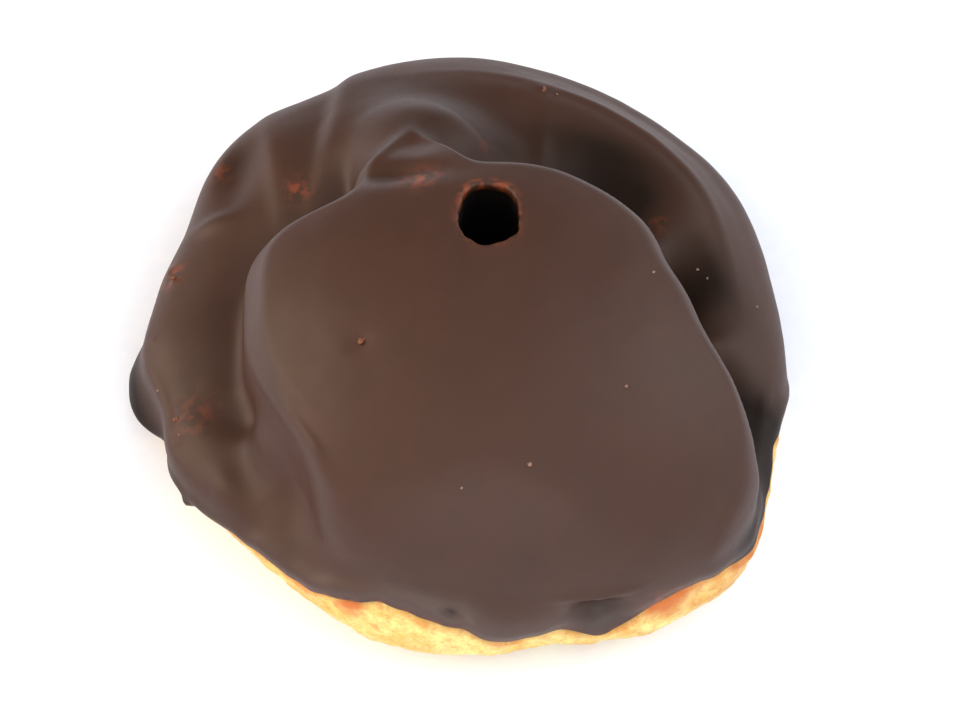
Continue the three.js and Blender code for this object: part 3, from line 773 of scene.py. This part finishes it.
class CREAMPUFF_OT_chocolate_coating(bpy.types.Operator):
    """Makes the chocolate coat: a shell over the form, from the hole's rim to its lower edge"""

    bl_idname = "creampuff.chocolate_coating"
    bl_label = "Chocolate Coating"

    def execute(self, context):
        settings = context.scene.creampuff
        thick = settings.coat_thick / MM
        azimuth = np.linspace(0, 2 * math.pi, settings.columns, endpoint=False)
        edge_z = edge_heights(azimuth)
        at, normal, _ = covered_grid(settings, azimuth, settings.coat_rows)
        above = at[..., 2] - edge_z
        bead = EDGE_BEAD["rise"] * np.exp(-(((above - EDGE_BEAD["above"]) / EDGE_BEAD["half"]) ** 2))
        lie = rough(at, COAT_LIE) + spots(at, BUBBLES) + bead
        outer = at + normal * lie[..., None]
        keep = np.unique(np.linspace(0, settings.coat_rows, INNER_ROWS).astype(int))
        inner = sunk(at[keep], normal[keep], coat_under(at[keep], thick, edge_z))[::-1]
        around = np.tile(azimuth, (len(FOOT_DROPS), 1))
        polar = polar_at_height(around, edge_z - np.array(FOOT_DROPS)[:, None])
        depths = np.array(FOOT_SHARES)[:, None] * np.full(around.shape, coat_depth(thick, 0.0))
        foot = sunk(*outer_face(around, polar), depths)
        rings = np.concatenate([outer, foot, inner])
        points, faces = skin(rings)
        from_hole, round_hole = about(HOLE, points[:, 0], points[:, 1])
        bore = hole_radius(settings.coat_hole / MM, np.radians(round_hole))
        rim = np.exp(-((np.maximum(from_hole - bore, 0.0) / RIM_TONE["half"]) ** 2))
        rim *= RIM_TONE["least"] + RIM_TONE["more"] * bell(round_hole, RIM_TONE["at"], RIM_TONE["wide"])
        above = points[:, 2] - np.tile(edge_z, len(rings))
        edge = EDGE_TONE["strength"] * np.exp(-((above / EDGE_TONE["half"]) ** 2))
        thin = np.clip(spots(points, THIN_SPOTS) + rim + edge, 0.0, 1.0)
        run = np.exp(-(((above - EDGE_BEAD["above"]) / FRONT_GLOSS["half"]) ** 2))
        run *= bell(round_hole, FRONT_GLOSS["at"], FRONT_GLOSS["wide"])
        # The painted shade share darkens the coat where shade falls in its hollows, moat and foot.
        tones = {"thin": thin, "painted_shade": painted_shade_share(points), "run": run}
        piece = new_piece("chocolate_coating_skin", points, faces, tones, chocolate_material(settings))
        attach(piece, "root")
        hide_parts("chocolate_coating")
        return {"FINISHED"}


class CREAMPUFF_OT_choux_bun(bpy.types.Operator):
    """Makes the choux bun: hole, the face under the chocolate, the bare crust and the flat base"""

    bl_idname = "creampuff.choux_bun"
    bl_label = "Choux Bun"

    def execute(self, context):
        settings = context.scene.creampuff
        thick = settings.coat_thick / MM
        azimuth = np.linspace(0, 2 * math.pi, settings.columns, endpoint=False)
        edge_z = edge_heights(azimuth)
        at, normal, top = covered_grid(settings, azimuth, COVERED_ROWS)
        rim_z = sunk(at[:1], normal[:1], np.full(at[:1].shape[:2], GAP + thick))[0, :, 2]
        at, normal = at[1:], normal[1:]
        from_hole, _ = about(HOLE, at[..., 0], at[..., 1])
        buried = BURIAL["deep"] * np.clip((at[..., 2] - edge_z - BURIAL["edge"]) / BURIAL["over"], 0.0, 1.0)
        buried *= np.clip((from_hole - BURIAL["hole"]) / BURIAL["over"], 0.0, 1.0)
        covered = sunk(at, normal, GAP + buried + coat_under(at, thick, edge_z))
        radius = hole_radius(settings.crust_hole / MM, azimuth)
        floor_z = top - settings.hole_depth / MM
        heights = floor_z + (rim_z - floor_z) * np.linspace(0, 1, WALL_ROWS)[:, None]
        wall = np.stack([
            np.broadcast_to(HOLE["x"] + radius * np.cos(azimuth), heights.shape),
            np.broadcast_to(HOLE["y"] + radius * np.sin(azimuth), heights.shape),
            heights,
        ], -1)
        shares = np.linspace(0, 1, CRUST_ROWS)[1:-1, None]
        drop = edge_z * shares
        spread = np.broadcast_to(azimuth, drop.shape)
        polar = polar_at_height(spread, edge_z - drop)
        bare, bare_normal = outer_face(spread, polar)
        out = np.clip((drop - BARE["start"]) / BARE["over"], 0.0, 1.0)
        under = GAP + coat_depth(thick, 0.0)
        depth = under + (BARE["flush"] - under) * out * out * (3 - 2 * out)
        crags = rough(bare, CRAGS)
        fade = np.clip(drop / BARE["crags_from"], 0, 1) * np.clip((edge_z - drop) / BARE["crags_to"], 0, 1)
        depth = depth - fade * (crags - BARE["sink"])
        crust = sunk(bare, bare_normal, depth)
        base_r = reach_of(azimuth, np.full_like(azimuth, math.pi / 2), 0.0) - depth[-1]
        foot = np.stack([
            HOLE["x"] + base_r * np.cos(azimuth),
            HOLE["y"] + base_r * np.sin(azimuth),
            np.zeros_like(azimuth),
        ], -1)[None]
        centre = np.array([HOLE["x"], HOLE["y"], 0.0])
        base = centre + (foot - centre) * np.array(BASE_SHARES)[:, None, None]
        rings = np.concatenate([wall, covered, crust, foot, base])
        ends = [[HOLE["x"], HOLE["y"], floor_z], [HOLE["x"], HOLE["y"], 0.0]]
        points, faces = skin(rings, ends)
        x, y, z = points.T
        from_hole, round_hole = about(HOLE, x, y)
        bore = hole_radius(settings.crust_hole / MM, np.radians(round_hole))
        # Painted shade: the crust within the hole's bore, above the base, is marked for the near-black tone.
        inside = (from_hole < bore + HOLE_SHADE["beyond"]) & (z > HOLE_SHADE["above"])
        crag_tone = np.zeros(len(points))
        start = (len(wall) + len(covered)) * settings.columns
        tones = np.clip(BAKING["crag_least"] + BAKING["crag_more"] * crags.ravel(), 0.0, 1.0)
        crag_tone[start:start + crags.size] = tones
        floorward = np.clip(1.0 - z / BAKING["floor_high"], 0.0, 1.0)
        below = np.tile(edge_z, len(rings) + 1)[:len(points)] - z
        seam = np.exp(-(((below - BAKING["seam_drop"]) / BAKING["seam_half"]) ** 2))
        baked = BAKING["crag"] * crag_tone + BAKING["floor"] * floorward + BAKING["seam"] * seam
        baked = np.clip(baked + spots(points, BAKED_SPOTS), 0.0, 1.0)
        piece = new_piece("choux_bun_crust", points, faces, {"baked": baked, "inside": inside},
                          crust_material(settings))
        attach(piece, "root")
        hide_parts("choux_bun")
        return {"FINISHED"}


def top_of(x, y):
    """Height of the outer face above a plan place, searched from well inside to well above."""
    low, high = (np.full_like(x, height) for height in SEARCH["heights"])
    return halved(low, high, lambda z: field(x, y, z) > 0, HALVINGS["height"])


def crumb_heap(table, seed):
    """Small lumpy balls: a sphere's two angles, its radius waved by a random field, squashed on the coat."""
    rng = np.random.default_rng(seed)
    plan = np.array([place for place, _ in table])
    size = np.array([s for _, s in table])
    height = top_of(plan[:, 0], plan[:, 1])
    polar = np.linspace(0, math.pi, CRUMB["rows"] + 2)[1:-1]
    around = np.linspace(0, 2 * math.pi, CRUMB["columns"], endpoint=False)
    p, a = np.meshgrid(polar, around, indexing="ij")
    ball = np.stack([np.sin(p) * np.cos(a), np.sin(p) * np.sin(a), np.cos(p)], -1)
    points, faces, start = [], [], 0
    for k in range(len(table)):
        stretch = rng.uniform(CRUMB["least"], CRUMB["most"], 3) * np.array([1.0, 1.0, CRUMB["flat"]])
        half = stretch * size[k] / 2
        lump = ball * (1 + CRUMB["waves"] * ripple(ball + k, CRUMB["length"], seed + k))[..., None]
        poles = np.array([[0, 0, 1.0], [0, 0, -1.0]])
        middle = np.array([plan[k, 0], plan[k, 1], height[k] + CRUMB["lift"] * size[k]])
        verts, quads = skin(lump * half + middle, list(poles * half + middle))
        points.append(verts)
        faces += [f + start for f in quads]
        start += len(verts)
    return np.concatenate(points), faces


class CREAMPUFF_OT_crumbs(bpy.types.Operator):
    """Scatters the few crumbs of crust and pale flecks that lie on the chocolate"""

    bl_idname = "creampuff.crumbs"
    bl_label = "Crumbs and Flecks"

    def execute(self, context):
        # Piece, table, seed, finish, dark and light tone, slot.
        kinds = [
            ("crust_crumbs", CRUST_CRUMBS, 21, "broken_choux_crumb", "#583020", "#7E4C2C", "choux_crust"),
            ("pale_flecks", PALE_FLECKS, 22, "broken_pale_fleck", "#6C4E42", "#96786A", "choux_crust"),
        ]
        for name, table, seed, finish, dark, light, slot in kinds:
            points, faces = crumb_heap(table, seed)
            piece = new_piece(name, points, faces, {}, crumb_material(finish, linear(dark), linear(light)))
            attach(piece, "root")
        return {"FINISHED"}


class CREAMPUFF_OT_stage(bpy.types.Operator):
    """Lays the floor, hangs the soft lights and sets the camera"""

    bl_idname = "creampuff.stage"
    bl_label = "Studio Stage"

    def execute(self, context):
        settings = context.scene.creampuff
        scene = context.scene
        mesh = bpy.data.meshes.new("floor")
        corners = [(x * FLOOR_HALF, y * FLOOR_HALF, 0) for x, y in ((-1, -1), (1, -1), (1, 1), (-1, 1))]
        mesh.from_pydata(corners, [], [(0, 1, 2, 3)])
        mesh.materials.append(floor_material(settings))
        floor = bpy.data.objects.new("floor", mesh)
        scene.collection.objects.link(floor)

        # A tent of light: bright in front and overhead, dark behind.
        world = bpy.data.worlds.new("light_tent")
        world.use_nodes = True
        tree = world.node_tree
        tree.nodes.clear()
        heading = add(tree, "ShaderNodeTexCoord")
        lean = add(tree, "ShaderNodeVectorMath", {"operation": "DOT_PRODUCT"})
        lean.inputs[1].default_value = TENT["lean"]
        tree.links.new(heading.outputs["Generated"], lean.inputs[0])
        span = {"From Min": TENT["from"], "From Max": TENT["to"]}
        glow = add(tree, "ShaderNodeMapRange", {**span, "To Min": TENT["dark"], "To Max": TENT["bright"]},
                   Value=(lean, "Value"))
        # The room is warm on the left, as by a wooden wall, and plain white from the middle to the right.
        across = add(tree, "ShaderNodeSeparateXYZ", None, Vector=(heading, "Generated"))
        left = add(tree, "ShaderNodeMapRange", {"From Min": 0.0, "From Max": ROOM["left"]},
                   Value=(across, "X"))
        room = add(tree, "ShaderNodeMix", {"data_type": "RGBA", "A": ROOM["plain"], "B": ROOM["warm"]},
                   Factor=(left, "Result"))
        ground = add(tree, "ShaderNodeBackground", None, Strength=(glow, "Result"))
        tree.links.new(room.outputs[2], ground.inputs["Color"])
        add(tree, "ShaderNodeOutputWorld", None, Surface=(ground, "Background"))
        scene.world = world

        aim = Vector((-PLAN_CENTRE[0] * MM, -PLAN_CENTRE[1] * MM, PHOTO["aim_z"] * MM))
        for name, place, size, power, tint in SOFTBOXES:
            lamp = bpy.data.lights.new(name, "AREA")
            lamp.size = size
            lamp.energy = power
            lamp.color = tint
            lamp_object = bpy.data.objects.new(name, lamp)
            scene.collection.objects.link(lamp_object)
            lamp_object.location = place
            lamp_object.rotation_euler = (aim - lamp_object.location).to_track_quat("-Z", "Y").to_euler()

        # The lens gives the photograph's pixels to a millimetre, the shift its place of the base's middle.
        wide, base_px = PHOTO["wide"], PHOTO["base"]
        camera = bpy.data.cameras.new("camera")
        camera.sensor_width = 36.0
        camera.lens = PHOTO["per_mm"] * settings.view_distance / MM * camera.sensor_width / wide
        back = Vector((0.0, -math.cos(settings.view_height), math.sin(settings.view_height)))
        rig = bpy.data.objects.new("camera", camera)
        scene.collection.objects.link(rig)
        rig.location = aim + back * settings.view_distance
        rig.rotation_euler = (-back).to_track_quat("-Z", "Y").to_euler()
        aim_px = base_px[1] - aim.z / MM * math.cos(settings.view_height) * PHOTO["per_mm"]
        camera.shift_x = (wide / 2 - base_px[0]) / wide
        camera.shift_y = (aim_px - PHOTO["high"] / 2) / wide
        camera.clip_start = 0.01
        scene.camera = rig
        scene.view_settings.view_transform = "Standard"
        return {"FINISHED"}


class CREAMPUFF_PT_panel(bpy.types.Panel):
    """Lists the puff's pieces in the sidebar"""

    bl_label = "Cream Puff"
    bl_idname = "CREAMPUFF_PT_panel"
    bl_space_type = "VIEW_3D"
    bl_region_type = "UI"
    bl_category = "Cream Puff"

    def draw(self, context):
        settings = context.scene.creampuff
        for key in CREAMPUFF_PG_settings.__annotations__:
            self.layout.prop(settings, key)
        for operator in OPERATORS:
            self.layout.operator(operator.bl_idname)


OPERATORS = (
    CREAMPUFF_OT_choux_bun,
    CREAMPUFF_OT_chocolate_coating,
    CREAMPUFF_OT_crumbs,
    CREAMPUFF_OT_stage,
)
CLASSES = (CREAMPUFF_PG_settings, *OPERATORS, CREAMPUFF_PT_panel)


def register():
    """Registers the classes and hangs the settings on the scene."""
    for cls in CLASSES:
        bpy.utils.register_class(cls)
    bpy.types.Scene.creampuff = bpy.props.PointerProperty(type=CREAMPUFF_PG_settings)


def unregister():
    """Takes the settings off the scene and unregisters the classes."""
    del bpy.types.Scene.creampuff
    for cls in reversed(CLASSES):
        bpy.utils.unregister_class(cls)


def main():
    register()
    bpy.ops.creampuff.choux_bun()
    bpy.ops.creampuff.chocolate_coating()
    bpy.ops.creampuff.crumbs()
    bpy.ops.creampuff.stage()


if __name__ == "__main__":
    main()
